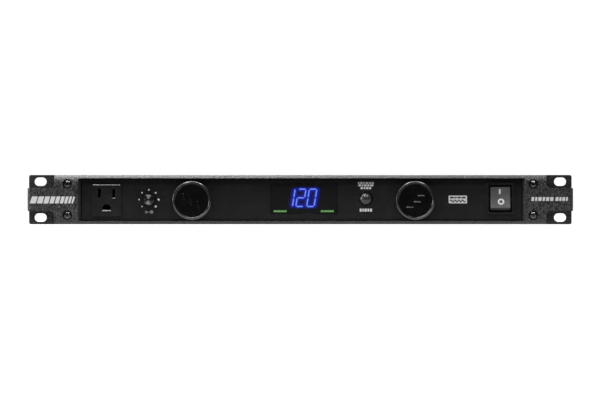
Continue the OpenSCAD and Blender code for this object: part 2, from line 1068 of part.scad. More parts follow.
module filter_choke() {
    color([0.7, 0.35, 0.1])
        translate([board_x0 + 28, board_y0 + 32, board_top + choke_wound_r]) {
            rotate_extrude()
                translate([choke_ring_r, 0])
                    circle(r = choke_core_r);
            for (start = [20, 200])
                rotate([0, 0, start])
                    rotate_extrude(angle = 140)
                        translate([choke_ring_r, 0])
                            circle(r = choke_wound_r);
        }
}

module filter_capacitors() {
    color([0.8, 0.65, 0.1])
        for (i = [0 : capacitor_count - 1])
            translate([board_x0 + 62, board_y0 + 14 + i * 20, board_top])
                cube(capacitor_size);
}

module surge_varistors() {
    color([0.1, 0.25, 0.6])
        for (i = [0 : varistor_count - 1])
            translate([board_x0 + 18 + i * 22, board_y1 - 24, board_top + varistor_r + 2.5]) {
                rod_y(varistor_r, -varistor_t / 2, varistor_t / 2);
                for (s = [-1, 1])
                    translate([s * 3.75, 0, -varistor_r - 2.5])
                        cylinder(r = varistor_lead_r, h = 5);
            }
}

module shutdown_relay() {
    color([0.15, 0.15, 0.2])
        translate([board_x1 - 34, board_y1 - 62, board_top])
            cube(relay_size);
}

module supply_transformer() {
    color([0.4, 0.4, 0.42])
        translate([146, 110, floor_z]) {
            difference() {
                box(-21, 21, -9, 9, 0, 34);
                for (s = [-1, 1])
                    translate([s * 10.5, 0, 17])
                        box(-3.5, 3.5, -10, 10, -10.5, 10.5);
            }
            difference() {
                box(-13, 13, -16, 16, 7, 27);
                box(-7, 7, -9, 9, 6, 28);
            }
        }
}

module board_standoffs() {
    color([0.75, 0.75, 0.75]) {
        at_board_holes(floor_z)
            cylinder(r = standoff_r, h = board_z - floor_z, $fn = 6);
        for (x = [meter_board_x0 + meter_post_inset, meter_board_x1 - meter_post_inset], s = [-1, 1])
            at_front(x, s * meter_post_z)
                rod_y(post_r, sheet, board_y);
    }
}

// Wire of one radius along straight runs that meet at round corners
module wire(points, r) {
    for (i = [0 : len(points) - 2]) {
        run = points[i + 1] - points[i];
        turn_z = atan2(run[1], run[0]);
        turn_y = acos(run[2] / norm(run));
        translate(points[i]) {
            sphere(r = 1.04 * r);
            rotate([0, turn_y, turn_z])
                cylinder(r = r, h = norm(run));
        }
    }
}

module supply_wires() {
    color([0.1, 0.1, 0.1]) {
        wire([[gland_x - 2, wire_y1, 2], [gland_x - 2, 150, 2], [gland_x - 2, 60, 8],
              [breaker_x, 60, 8], [breaker_x, 33, 8]], wire_r);
        wire([[gland_x + 2, wire_y1, -2], [gland_x + 2, 50, -6],
              [breaker_x, 50, -6], [breaker_x, 33, -6]], wire_r);
    }
}

module ground_stud() {
    color([0.75, 0.75, 0.75])
        translate([gland_x - 24, case_d - 40, floor_z]) {
            cylinder(r = 2, h = 12);
            translate([0, 0, 1])
                cylinder(r = 4, h = 1);
            translate([0, 0, 2])
                cylinder(r = 4.2, h = 3, $fn = 6);
            box(-3, 3, -14, -3.5, 1, 2);
        }
}

faceplate();
faceplate_screws();
front_panel();
chassis_tray();
rear_panel();
top_cover();
case_screws();
front_outlet();
outlet_contacts();
dimmer_knob();
dimmer_shaft();
dimmer_pot();
dimmer_nut();
meter_window();
meter_display();
display_segments();
meter_board();
status_lights();
meter_button();
button_collar();
button_switch();
breaker_rocker();
breaker_housing();
breaker_terminals();
at_front(left_light_x, light_z) light_knob(left_grip_turn);  // left_light_knob
at_front(left_light_x, light_z) light_tube();  // left_light_tube
at_front(left_light_x, light_z) light_lens();  // left_light_lens
at_front(left_light_x, light_z) led_board();  // left_led_board
at_front(left_light_x, light_z) carriage();  // left_carriage
at_front(left_light_x, light_z) guide_tube();  // left_guide_tube
at_front(left_light_x, light_z) guide_collar();  // left_guide_collar
at_front(right_light_x, light_z) light_knob(right_grip_turn);  // right_light_knob
at_front(right_light_x, light_z) light_tube();  // right_light_tube
at_front(right_light_x, light_z) light_lens();  // right_light_lens
at_front(right_light_x, light_z) led_board();  // right_led_board
at_front(right_light_x, light_z) carriage();  // right_carriage
at_front(right_light_x, light_z) guide_tube();  // right_guide_tube
at_front(right_light_x, light_z) guide_collar();  // right_guide_collar
rear_outlet(1);  // rear_outlet_1
rear_outlet(2);  // rear_outlet_2
rear_outlet(3);  // rear_outlet_3
rear_outlet(4);  // rear_outlet_4
rear_outlet(5);  // rear_outlet_5
rear_outlet(6);  // rear_outlet_6
rear_outlet(7);  // rear_outlet_7
rear_outlet(8);  // rear_outlet_8
cord_gland();
lamp_socket();
lamp_socket_nut();
lamp_switch_housing();
lamp_switch_rocker();
filter_board();
filter_choke();
filter_capacitors();
surge_varistors();
supply_transformer();
shutdown_relay();
board_standoffs();
supply_wires();
ground_stud();
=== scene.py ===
"""Looks of the rack power conditioner: materials, printed marks, lit display and the finer front pieces."""

import json
import math

import bmesh
import bpy
from mathutils import Matrix, Vector


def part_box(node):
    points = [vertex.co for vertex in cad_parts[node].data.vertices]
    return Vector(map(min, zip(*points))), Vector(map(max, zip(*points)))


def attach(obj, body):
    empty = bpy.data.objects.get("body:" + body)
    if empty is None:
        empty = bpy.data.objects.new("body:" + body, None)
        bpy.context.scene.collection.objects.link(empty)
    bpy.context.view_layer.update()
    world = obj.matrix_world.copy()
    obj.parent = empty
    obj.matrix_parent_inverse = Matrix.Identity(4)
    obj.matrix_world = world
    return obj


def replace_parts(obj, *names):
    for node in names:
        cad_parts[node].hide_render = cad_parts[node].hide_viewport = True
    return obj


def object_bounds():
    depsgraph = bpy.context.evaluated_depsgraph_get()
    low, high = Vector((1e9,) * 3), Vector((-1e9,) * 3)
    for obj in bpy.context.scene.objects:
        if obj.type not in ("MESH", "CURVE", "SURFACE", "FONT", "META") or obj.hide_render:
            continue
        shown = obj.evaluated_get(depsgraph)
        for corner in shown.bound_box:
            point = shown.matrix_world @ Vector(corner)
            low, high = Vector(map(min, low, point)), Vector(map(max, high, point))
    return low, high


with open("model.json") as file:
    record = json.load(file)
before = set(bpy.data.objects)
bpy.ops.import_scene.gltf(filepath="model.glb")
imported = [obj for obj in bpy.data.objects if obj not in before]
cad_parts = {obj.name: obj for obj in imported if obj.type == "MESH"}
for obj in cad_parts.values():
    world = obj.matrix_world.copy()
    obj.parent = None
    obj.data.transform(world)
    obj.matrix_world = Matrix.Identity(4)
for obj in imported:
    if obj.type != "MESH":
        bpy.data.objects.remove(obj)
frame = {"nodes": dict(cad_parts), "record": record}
cad_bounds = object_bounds()
record = frame["record"]
nodes = frame["nodes"]

MM = 0.001
TAU = 2 * math.pi
# Thickness of a printed mark
PRINT_T = 0.08 * MM


# ---------------------------------------------------------------- materials


class Surface:
    """A procedural material being built round one Principled shader, textured in the row's own metres."""

    def __init__(self, name, color, rough, metallic=0.0):
        self.mat = bpy.data.materials.new(name)
        self.mat.use_nodes = True
        self.tree = self.mat.node_tree
        self.shader = self.tree.nodes["Principled BSDF"]
        self.place = self.node("ShaderNodeTexCoord").outputs["Object"]
        self.color = (*color, 1.0)
        self.set("Base Color", self.color)
        self.set("Roughness", rough)
        self.set("Metallic", metallic)
        self.normal = self.tinted = None

    def node(self, kind):
        return self.tree.nodes.new(kind)

    def set(self, socket, value):
        self.shader.inputs[socket].default_value = value
        return self

    def link(self, output, socket):
        self.tree.links.new(output, self.shader.inputs[socket])
        return self

    def noise(self, size_mm, detail=2.0, stretch=(1, 1, 1)):
        """Soft noise whose lumps are about size_mm across, drawn out along the axes by stretch."""
        spread = self.node("ShaderNodeMapping")
        spread.inputs["Scale"].default_value = [1.0 / s for s in stretch]
        texture = self.node("ShaderNodeTexNoise")
        texture.inputs["Scale"].default_value = 1.0 / (size_mm * MM)
        texture.inputs["Detail"].default_value = detail
        self.tree.links.new(self.place, spread.inputs["Vector"])
        self.tree.links.new(spread.outputs["Vector"], texture.inputs["Vector"])
        return texture.outputs["Fac"]

    def cells(self, size_mm):
        """Pebble-like cells about size_mm across: distance from each cell's middle."""
        texture = self.node("ShaderNodeTexVoronoi")
        texture.inputs["Scale"].default_value = 1.0 / (size_mm * MM)
        self.tree.links.new(self.place, texture.inputs["Vector"])
        return texture.outputs["Distance"]

    def spread(self, value, low, high, start=0.35, end=0.65):
        """Maps value, as it goes from start to end, to low..high."""
        ramp = self.node("ShaderNodeMapRange")
        ramp.inputs["From Min"].default_value = start
        ramp.inputs["From Max"].default_value = end
        ramp.inputs["To Min"].default_value = low
        ramp.inputs["To Max"].default_value = high
        self.tree.links.new(value, ramp.inputs["Value"])
        return ramp.outputs["Result"]

    def tint(self, value, other, amount=1.0):
        """Varies the colour towards other where value is high."""
        mix = self.node("ShaderNodeMix")
        mix.data_type = "RGBA"
        self.tree.links.new(self.spread(value, 0.0, amount), mix.inputs["Factor"])
        mix.inputs["A"].default_value = self.color
        mix.inputs["B"].default_value = (*other, 1.0)
        if self.tinted is not None:
            self.tree.links.new(self.tinted, mix.inputs["A"])
        self.tinted = mix.outputs["Result"]
        return self.link(self.tinted, "Base Color")

    def polish(self, value, low, high):
        """Varies the roughness from low to high."""
        return self.link(self.spread(value, low, high), "Roughness")

    def relief(self, value, depth_mm, strength=1.0):
        """Adds a bump of that depth on top of the bumps before it."""
        bump = self.node("ShaderNodeBump")
        bump.inputs["Strength"].default_value = strength
        bump.inputs["Distance"].default_value = depth_mm * MM
        self.tree.links.new(value, bump.inputs["Height"])
        if self.normal is not None:
            self.tree.links.new(self.normal, bump.inputs["Normal"])
        self.normal = bump.outputs["Normal"]
        return self.link(self.normal, "Normal")


def lighter(color, share):
    return tuple(c + (1 - c) * share for c in color)


def darker(color, share):
    return tuple(c * (1 - share) for c in color)


def textured_paint(name, color, grain_mm, depth_mm, rough, gloss):
    """Wrinkle or powder coat: pebbled relief with smaller grain on it."""
    s = Surface(name, color, rough).set("Specular IOR Level", gloss)
    fine = s.noise(0.45 * grain_mm, 3)
    s.tint(s.noise(1.7 * grain_mm, 3), lighter(color, 0.02))
    s.polish(fine, rough - 0.08, rough + 0.1)
    s.relief(s.cells(grain_mm), depth_mm, 0.8)
    s.relief(fine, 0.5 * depth_mm, 0.7)
    return s.mat


# Where the slotted corners of the faceplate begin, which get painted shade: distance from the middle, height
# and depth, in mm
POCKET_X, POCKET_Z, POCKET_Y = (216.2, 217.4), (8.8, 10.0), (-8.8, -7.8)
POCKET_SHADE_COLOR = (0.02, 0.02, 0.02)


def ear_paint(name, color):
    """Coarse powder coat on the ears' faces; the recessed slotted corners behind them get an even, darker
    colour as painted shade.
    """
    s = Surface(name, color, 0.5)
    split = s.node("ShaderNodeSeparateXYZ")
    s.tree.links.new(s.place, split.inputs["Vector"])

    def past(value, limits_mm):
        """Goes from 0 to 1 as the value passes from the first limit to the second."""
        return s.spread(value, 0.0, 1.0, *(limit * MM for limit in limits_mm))

    def away(axis):
        """Distance from the middle along an axis."""
        size = s.node("ShaderNodeMath")
        size.operation = "ABSOLUTE"
        s.tree.links.new(split.outputs[axis], size.inputs[0])
        return size.outputs["Value"]

    def product(one, two):
        times = s.node("ShaderNodeMath")
        times.operation = "MULTIPLY"
        s.tree.links.new(one, times.inputs[0])
        s.tree.links.new(two, times.inputs[1])
        return times.outputs["Value"]

    corner = product(past(away("X"), POCKET_X), past(away("Z"), POCKET_Z))
    pocket_shade = product(corner, past(split.outputs["Y"], POCKET_Y))
    fine = s.noise(0.5, 3)
    s.tint(s.noise(1.4, 2), lighter(color, 0.078))
    # Painted shade: the recessed slotted corners are made an even near black.
    s.tint(pocket_shade, POCKET_SHADE_COLOR)
    s.polish(fine, 0.36, 0.6)
    s.relief(s.cells(1.5), 0.48, 1.0)
    s.relief(fine, 0.09, 0.8)
    return s.mat


def moulded_plastic(name, color, rough, grain_mm=0.35, depth_mm=0.01, patch=0.004, gloss=0.5):
    """Injection-moulded plastic: fine spark-eroded grain and slow changes of sheen."""
    s = Surface(name, color, rough).set("Specular IOR Level", gloss)
    s.tint(s.noise(9, 3), lighter(color, patch))
    s.polish(s.noise(4, 4), rough - 0.05, rough + 0.06)
    s.relief(s.noise(grain_mm, 2), depth_mm)
    return s.mat


def polished_plastic(name, color, rough, gloss=0.5):
    """Glossy plastic with faint handling haze."""
    s = Surface(name, color, rough).set("Specular IOR Level", gloss)
    s.tint(s.noise(12, 2), lighter(color, 0.002))
    s.polish(s.noise(3, 5), rough * 0.7, rough * 1.4)
    s.relief(s.noise(6, 2), 0.006)
    return s.mat


def bare_metal(name, color, rough, stretch=(1, 1, 1)):
    """Plated or brushed metal with streaks along the stretched axis."""
    s = Surface(name, color, rough, metallic=1.0)
    streaks = s.noise(0.3, 3, stretch)
    s.tint(s.noise(5, 3), darker(color, 0.15))
    s.polish(streaks, rough * 0.7, rough * 1.4)
    s.relief(streaks, 0.01, 0.5)
    return s.mat


def printed_ink(name, color):
    """Screen print: slightly uneven cover."""
    s = Surface(name, color, 0.55)
    s.tint(s.noise(0.25, 2), darker(color, 0.18))
    s.relief(s.noise(0.2, 2), 0.004)
    return s.mat


def glow(name, color, light, strength):
    """Lit plastic: a bright core that varies a little along the bar."""
    s = Surface(name, color, 0.4)
    s.tint(s.noise(1.2, 2), lighter(color, 0.15))
    s.set("Emission Color", (*light, 1.0))
    s.set("Emission Strength", strength)
    return s.mat


def clear_window(name, color, rough, haze_mm):
    """See-through plastic with a faint surface haze."""
    s = Surface(name, color, rough)
    s.polish(s.noise(haze_mm, 3), rough * 0.6, rough * 1.5)
    s.set("Transmission Weight", 1.0)
    s.set("IOR", 1.49)
    return s.mat


def smoked_window(name, color, share_seen):
    """Dark glossy plastic through which only share_seen of what is behind it shows."""
    s = Surface(name, color, 0.06)
    s.polish(s.noise(8, 3), 0.04, 0.09)
    clear = s.node("ShaderNodeBsdfTransparent")
    mix = s.node("ShaderNodeMixShader")
    mix.inputs["Fac"].default_value = share_seen
    s.tree.links.new(s.shader.outputs["BSDF"], mix.inputs[1])
    s.tree.links.new(clear.outputs["BSDF"], mix.inputs[2])
    s.tree.links.new(mix.outputs["Shader"], s.tree.nodes["Material Output"].inputs["Surface"])
    return s.mat


def circuit_board(name, color):
    """Solder mask with darker tracks under it."""
    s = Surface(name, color, 0.35)
    s.tint(s.noise(3.5, 1, (1, 6, 1)), darker(color, 0.4))
    s.relief(s.noise(2.5, 1, (6, 1, 1)), 0.03)
    return s.mat


def wound_wire(name, color, turn_mm):
    """Enamelled winding: tight parallel turns."""
    s = Surface(name, color, 0.3, metallic=0.7)
    bands = s.node("ShaderNodeTexWave")
    bands.inputs["Scale"].default_value = 1.0 / (turn_mm * MM * TAU)
    bands.inputs["Distortion"].default_value = 0.6
    s.tree.links.new(s.place, bands.inputs["Vector"])
    s.tint(bands.outputs["Fac"], darker(color, 0.6))
    s.relief(bands.outputs["Fac"], 0.25)
    return s.mat


def turned_face(name, color):
    """Lathe-turned black metal, whose highlight spreads across the turning marks."""
    s = Surface(name, color, 0.3, metallic=1.0)
    s.tint(s.noise(0.5, 3), lighter(color, 0.04))
    s.set("Anisotropic", 0.97)
    s.set("Anisotropic Rotation", 0.25)
    tangent = s.node("ShaderNodeTangent")
    tangent.direction_type = "RADIAL"
    tangent.axis = "Y"
    s.link(tangent.outputs["Tangent"], "Tangent")
    return s.mat


BLACK_INK = printed_ink("black_ink", (0.02, 0.02, 0.02))
WHITE_INK = printed_ink("white_ink", (0.9, 0.9, 0.9))
GREY_INK_AND_HIGHLIGHT = printed_ink("grey_ink_and_highlight", (0.35, 0.35, 0.35))
TURNED = turned_face("turned_face", (0.12, 0.12, 0.123))
DARK_GLOSS = bare_metal("dark_gloss", (0.16, 0.16, 0.162), 0.25)
HIGHLIGHT_SATIN = bare_metal("painted_highlight_satin", (0.5, 0.5, 0.505), 0.5)
GLOW_BLUE = glow("lit_blue", (0.02, 0.05, 0.3), (0.16, 0.31, 1.0), 2.3)
GLOW_GREEN = glow("lit_green", (0.02, 0.2, 0.05), (0.36, 0.95, 0.27), 1.0)

SLOTS = {
    "textured_black": ear_paint("textured_black", (0.001, 0.001, 0.0012)),
    "black_screw": bare_metal("black_screw", (0.17, 0.17, 0.175), 0.2),
    "panel_black": moulded_plastic("panel_black", (0.011, 0.011, 0.0112), 0.42, gloss=0.34),
    "case_black": textured_paint("case_black", (0.01, 0.01, 0.0105), 0.8, 0.05, 0.5, 0.28),
    "outlet_black": moulded_plastic("outlet_black", (0.0125, 0.0125, 0.0125), 0.38, gloss=0.38),
    # The brass contacts are made nearly black: painted shade for contacts set deep in the outlet slots.
    "brass_contact": bare_metal("brass_contact", (0.035, 0.024, 0.012), 0.45),
    "dimmer_black": moulded_plastic("dimmer_black", (0.004, 0.004, 0.004), 0.35),
    "bright_metal": bare_metal("bright_metal", (0.62, 0.62, 0.63), 0.28),
    "plated_metal": bare_metal("plated_metal", (0.66, 0.64, 0.60), 0.2),
    "smoked_lens": smoked_window("smoked_lens", (0.024, 0.024, 0.025), 0.6),
    "display_black": moulded_plastic("display_black", (0.004, 0.004, 0.006), 0.5),
    "segment_blue": GLOW_BLUE,
    "board_green": circuit_board("board_green", (0.03, 0.16, 0.06)),
    "legend_green": GLOW_GREEN,
    "button_grey": moulded_plastic("button_grey", (0.036, 0.036, 0.036), 0.26, 0.6, 0.04, gloss=0.9),
    "dark_plastic": moulded_plastic("dark_plastic", (0.005, 0.005, 0.005), 0.4),
    "knob_black": polished_plastic("knob_black", (0.0042, 0.0042, 0.0042), 0.16, 0.35),
    "tube_black": moulded_plastic("tube_black", (0.02, 0.02, 0.021), 0.3, 0.6, 0.006),
    "frosted_lens": clear_window("frosted_lens", (0.93, 0.95, 0.97), 0.35, 0.8),
    "led_white": moulded_plastic("led_white", (0.8, 0.8, 0.76), 0.45),
    "carriage_white": moulded_plastic("carriage_white", (0.7, 0.7, 0.68), 0.4),
    "rocker_black": moulded_plastic("rocker_black", (0.1, 0.1, 0.1), 0.42, 0.7, 0.12, 0.03),
    "gland_black": moulded_plastic("gland_black", (0.015, 0.015, 0.015), 0.42),
    "winding_copper": wound_wire("winding_copper", (0.55, 0.22, 0.07), 1.2),
    "capacitor_yellow": polished_plastic("capacitor_yellow", (0.7, 0.48, 0.05), 0.3),
    "varistor_blue": moulded_plastic("varistor_blue", (0.05, 0.12, 0.4), 0.35),
    "laminated_steel": bare_metal("laminated_steel", (0.3, 0.3, 0.32), 0.4, (1, 0.2, 1)),
    "wire_black": moulded_plastic("wire_black", (0.02, 0.02, 0.02), 0.45),
}


# ---------------------------------------------------------------- mesh helpers


def mesh_piece(name, bm, material, body):
    """Finishes a bmesh as a piece that rides on a CAD body."""
    bmesh.ops.recalc_face_normals(bm, faces=bm.faces)
    mesh = bpy.data.meshes.new(name)
    bm.to_mesh(mesh)
    bm.free()
    mesh.materials.append(material)
    piece = bpy.data.objects.new(name, mesh)
    bpy.context.scene.collection.objects.link(piece)
    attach(piece, body)
    return piece


def soften(piece, width, segments=2, angle=35):
    """Rounds the sharp edges and keeps the flats flat."""
    same_point, same_plane = 0.002 * MM, math.radians(0.4)
    weld = piece.modifiers.new("weld", "WELD")
    weld.merge_threshold = same_point
    flatten = piece.modifiers.new("flatten", "DECIMATE")
    flatten.decimate_type = "DISSOLVE"
    flatten.angle_limit = same_plane
    bevel = piece.modifiers.new("bevel", "BEVEL")
    bevel.width = width
    bevel.segments = segments
    bevel.limit_method = "ANGLE"
    bevel.angle_limit = math.radians(angle)
    weigh = piece.modifiers.new("weigh", "WEIGHTED_NORMAL")
    weigh.weight = 100
    piece.data.shade_smooth()
    return piece


def smooth(piece, angle=35):
    """Smooth shading that breaks at the piece's own sharp edges."""
    piece.data.shade_smooth()
    piece.data.set_sharp_from_angle(angle=math.radians(angle))
    return piece


def lathe(bm, profile, x, z, steps=96):
    """Turns (radius, y) points about the axis along Y through (x, z)."""
    rings = []
    for radius, y in profile:
        if radius < 1e-9:
            rings.append([bm.verts.new((x, y, z))])
            continue
        ring = []
        for i in range(steps):
            a = TAU * i / steps
            ring.append(bm.verts.new((x + radius * math.cos(a), y, z + radius * math.sin(a))))
        rings.append(ring)
    for one, two in zip(rings, rings[1:]):
        for i in range(steps):
            j = (i + 1) % steps
            corners = [one[i % len(one)], one[j % len(one)], two[j % len(two)], two[i % len(two)]]
            bm.faces.new(list(dict.fromkeys(corners)))


def slab(bm, outline, y_front, y_back):
    """A flat shape, given by (x, z) points, between two planes of y."""
    front = [bm.verts.new((x, y_front, z)) for x, z in outline]
    back = [bm.verts.new((x, y_back, z)) for x, z in outline]
    bm.faces.new(front)
    bm.faces.new(back[::-1])
    for i in range(len(outline)):
        j = (i + 1) % len(outline)
        bm.faces.new([front[i], back[i], back[j], front[j]])


# Stations along a ridge: share of its length from the middle, share of its radius
RIDGE_STATIONS = ((-0.5, 0.3), (-0.44, 0.85), (-0.38, 1.0), (0.38, 1.0), (0.44, 0.85), (0.5, 0.3))


def ridge(bm, cx, cz, length, r, y, steps=10):
    """Half-round bar along X that stands out of the face at y, with rounded-down ends."""
    rings = []
    turn = [math.pi * i / steps for i in range(steps + 1)]
    for end, share in RIDGE_STATIONS:
        x, radius = cx + end * length, share * r
        rings.append([bm.verts.new((x, y - radius * math.sin(a), cz + radius * math.cos(a))) for a in turn])
    for one, two in zip(rings, rings[1:]):
        for i in range(steps):
            bm.faces.new([one[i], one[i + 1], two[i + 1], two[i]])
    bm.faces.new(rings[0])
    bm.faces.new(rings[-1][::-1])


def rounded(cx, cz, w, h, r, lean=0.0, steps=5):
    """Outline of a rounded rectangle; lean slants it by that share of its height."""
    points = []
    for quarter, (sx, sz) in enumerate(((1, 1), (-1, 1), (-1, -1), (1, -1))):
        for i in range(steps + 1):
            a = math.pi / 2 * (quarter + i / steps)
            z = sz * (h / 2 - r) + r * math.sin(a)
            points.append((cx + sx * (w / 2 - r) + r * math.cos(a) + lean * z, cz + z))
    return points


def disc(cx, cz, r, steps=28):
    return [(cx + r * math.cos(TAU * i / steps), cz + r * math.sin(TAU * i / steps)) for i in range(steps)]


def sector(cx, cz, r0, r1, middle_angle, half_angle, steps=8):
    """Outline of a ring sector about (cx, cz)."""
    turn = [middle_angle + half_angle * (2 * i / steps - 1) for i in range(steps + 1)]
    outer = [(cx + r1 * math.cos(a), cz + r1 * math.sin(a)) for a in turn]
    return outer + [(cx + r0 * math.cos(a), cz + r0 * math.sin(a)) for a in turn[::-1]]


def ribbon(centre_line, width):
    """Outline of a line of that width along (x, z) points."""
    left, right = [], []
    for i, (x, z) in enumerate(centre_line):
        x0, z0 = centre_line[max(i - 1, 0)]
        x1, z1 = centre_line[min(i + 1, len(centre_line) - 1)]
        n = math.hypot(x1 - x0, z1 - z0)
        nx, nz = -(z1 - z0) / n * width / 2, (x1 - x0) / n * width / 2
        left.append((x + nx, z + nz))
        right.append((x - nx, z - nz))
    return left + right[::-1]


def print_on(name, outlines, y, material, body="case", depth=PRINT_T):
    """Flat ink marks on a surface that faces -Y at y."""
    bm = bmesh.new()
    for outline in outlines:
        slab(bm, outline, y - depth, y)
    return mesh_piece(name, bm, material, body)


def middle(node):
    lo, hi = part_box(node)
    return (lo + hi) / 2


# ---------------------------------------------------------------- CAD pieces

# Edge rounding of the CAD nodes that show, in mm
BEVELS = {
    "faceplate": 0.35, "faceplate_screws": 0.15, "front_panel": 0.15, "chassis_tray": 0.4, "rear_panel": 0.2,
    "top_cover": 0.5, "case_screws": 0.12, "front_outlet": 0.7, "dimmer_nut": 0.1, "meter_window": 0.25,
    "button_collar": 0.25, "breaker_rocker": 0.5, "breaker_housing": 0.35, "cord_gland": 0.4,
    "lamp_socket": 0.15, "lamp_socket_nut": 0.3, "lamp_switch_housing": 0.3, "lamp_switch_rocker": 0.4,
} | {f"rear_outlet_{number}": 0.3 for number in range(1, 9)}


def dress_cad():
    """Gives each CAD node its slot's material and rounds the edges that show."""
    for part in record["subparts"]:
        node = nodes[part["node"]]
        node.data.materials.clear()
        node.data.materials.append(SLOTS[part["material_slot"]])
        if part["node"] in BEVELS:
            soften(node, BEVELS[part["node"]] * MM)


# ---------------------------------------------------------------- lights


# How far each knob is turned about its own axis
KNOB_TURN = {"left": math.radians(75), "right": 0.0}
# Knob profiles as (radius, depth behind the crest) in mm, drawn for a knob of KNOB_DRAWN_R
KNOB_DRAWN_R = 17.5
KNOB_FACE = [(0, 0.62), (4, 0.64), (9, 0.67), (14.4, 0.7), (15.1, 0.66), (15.4, 0.5), (15.65, 0.22)]
KNOB_SEAM = [(15.65, 2.0)]
KNOB_SKIRT = [(17.5, 2.0), (17.5, 5.4), (17.38, 5.9), (17.0, 6.35), (16.5, 6.5), (0, 6.5)]
KNOB_RIM = [
    (15.65, 0.2), (15.8, 0.06), (16.2, 0), (16.5, 0.02), (16.8, 0.12), (17.43, 0.37), (17.5, 0.44), (17.5, 2),
]
# Finger bars: middles right of and above the knob's axis, length, radius, and depth of their feet, in mm
BAR_PLACES = ((5.1, 4.3), (1.6, -1.2), (-4.9, -6.0))
BAR_LENGTH, BAR_R, BAR_FOOT = 6.4, 0.62, 0.72


def light_knob(side):
    """Glossy pull knob: dished face, crest, bright bevel and finger bars."""
    node = f"{side}_light_knob"
    lo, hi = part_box(node)
    cx, cz = (lo.x + hi.x) / 2, (lo.z + hi.z) / 2
    y, scale = lo.y, (hi.x - lo.x) / 2 / KNOB_DRAWN_R

    def turned(name, profile, material, crease=50):
        bm = bmesh.new()
        lathe(bm, [(radius * scale, y + depth * MM) for radius, depth in profile], cx, cz, 128)
        return smooth(mesh_piece(f"{side}_knob{name}", bm, material, f"{side}_light"), crease)

    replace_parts(turned("", KNOB_FACE + KNOB_SEAM + KNOB_SKIRT, SLOTS["knob_black"]), node)
    turned("_rim", KNOB_RIM + KNOB_SEAM + KNOB_RIM[:1], DARK_GLOSS, 25)
    bm = bmesh.new()
    for dx, dz in BAR_PLACES:
        ridge(bm, dx * MM, dz * MM, BAR_LENGTH * MM, BAR_R * MM, y + BAR_FOOT * MM)
    spin = Matrix.Rotation(KNOB_TURN[side], 3, "Y")
    for v in bm.verts:
        v.co = spin @ v.co + Vector((cx, 0, cz))
    finish = DARK_GLOSS if side == "right" else SLOTS["knob_black"]
    smooth(mesh_piece(f"{side}_knob_bars", bm, finish, f"{side}_light"), 60)


# ---------------------------------------------------------------- dimmer


FLUTES, STEPS_PER_FLUTE, FLUTE_DEPTH = 18, 8, 0.35 * MM
# Middles and half widths of the two wedges and four edges of the painted highlight on the turned face, in
# degrees from the right
HIGHLIGHT_WEDGES, HIGHLIGHT_WEDGE_HALF = (91, 262), 22
HIGHLIGHT_EDGES, HIGHLIGHT_EDGE_HALF = (113, 68, 241, 284), 9
# Scale of dots: its radius, its first dot, the angle between dots, and the dots' radii in mm
SCALE_R, SCALE_START, SCALE_STEP = 8.6 * MM, 225, 45
DOT_RADII = (0.58, 0.66, 0.74, 0.82, 0.9, 0.98, 1.06)
# Mark under it: how far below the dimmer's axis; its dots as (right, up, radius) and its bar's size in mm
DIMMER_MARK_DROP = 11.1 * MM
MARK_DOTS, MARK_BAR = ((-2.3, 0.0, 1.15), (2.4, 0.1, 1.5)), (2.8, 0.7)


def dimmer_grip(lo, hi):
    """The knob's fluted body, closed at both ends."""
    cx, cz = (lo.x + hi.x) / 2, (lo.z + hi.z) / 2
    r, y0, y1 = (hi.x - lo.x) / 2, lo.y, hi.y
    steps = FLUTES * STEPS_PER_FLUTE
    bm = bmesh.new()
    # Radius, place along Y, and share of the flutes' full depth
    rows = (
        (0.86 * r, y0 + 0.45 * MM, 0), (0.89 * r, y0 + 0.1 * MM, 0), (0.92 * r, y0, 0),
        (0.95 * r, y0 + 0.25 * MM, 0.3), (0.98 * r, y0 + 0.9 * MM, 1), (r, y1 - 1.8 * MM, 1),
        (r, y1 - 1.4 * MM, 0.3), (r, y1 - 1.1 * MM, 0), (r, y1, 0), (0.7 * r, y1, 0),
    )
    rings = []
    for radius, y, flute in rows:
        ring = []
        for i in range(steps):
            a = TAU * i / steps
            out = radius - flute * FLUTE_DEPTH * max(0.0, math.cos(FLUTES * a)) ** 1.5
            ring.append(bm.verts.new((cx + out * math.cos(a), y, cz + out * math.sin(a))))
        rings.append(ring)
    for one, two in zip(rings, rings[1:]):
        for i in range(steps):
            j = (i + 1) % steps
            bm.faces.new([one[i], one[j], two[j], two[i]])
    bm.faces.new(rings[0])
    bm.faces.new(rings[-1][::-1])
    grip = smooth(mesh_piece("dimmer_grip", bm, SLOTS["dimmer_black"], "dimmer"), 40)
    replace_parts(grip, "dimmer_knob")


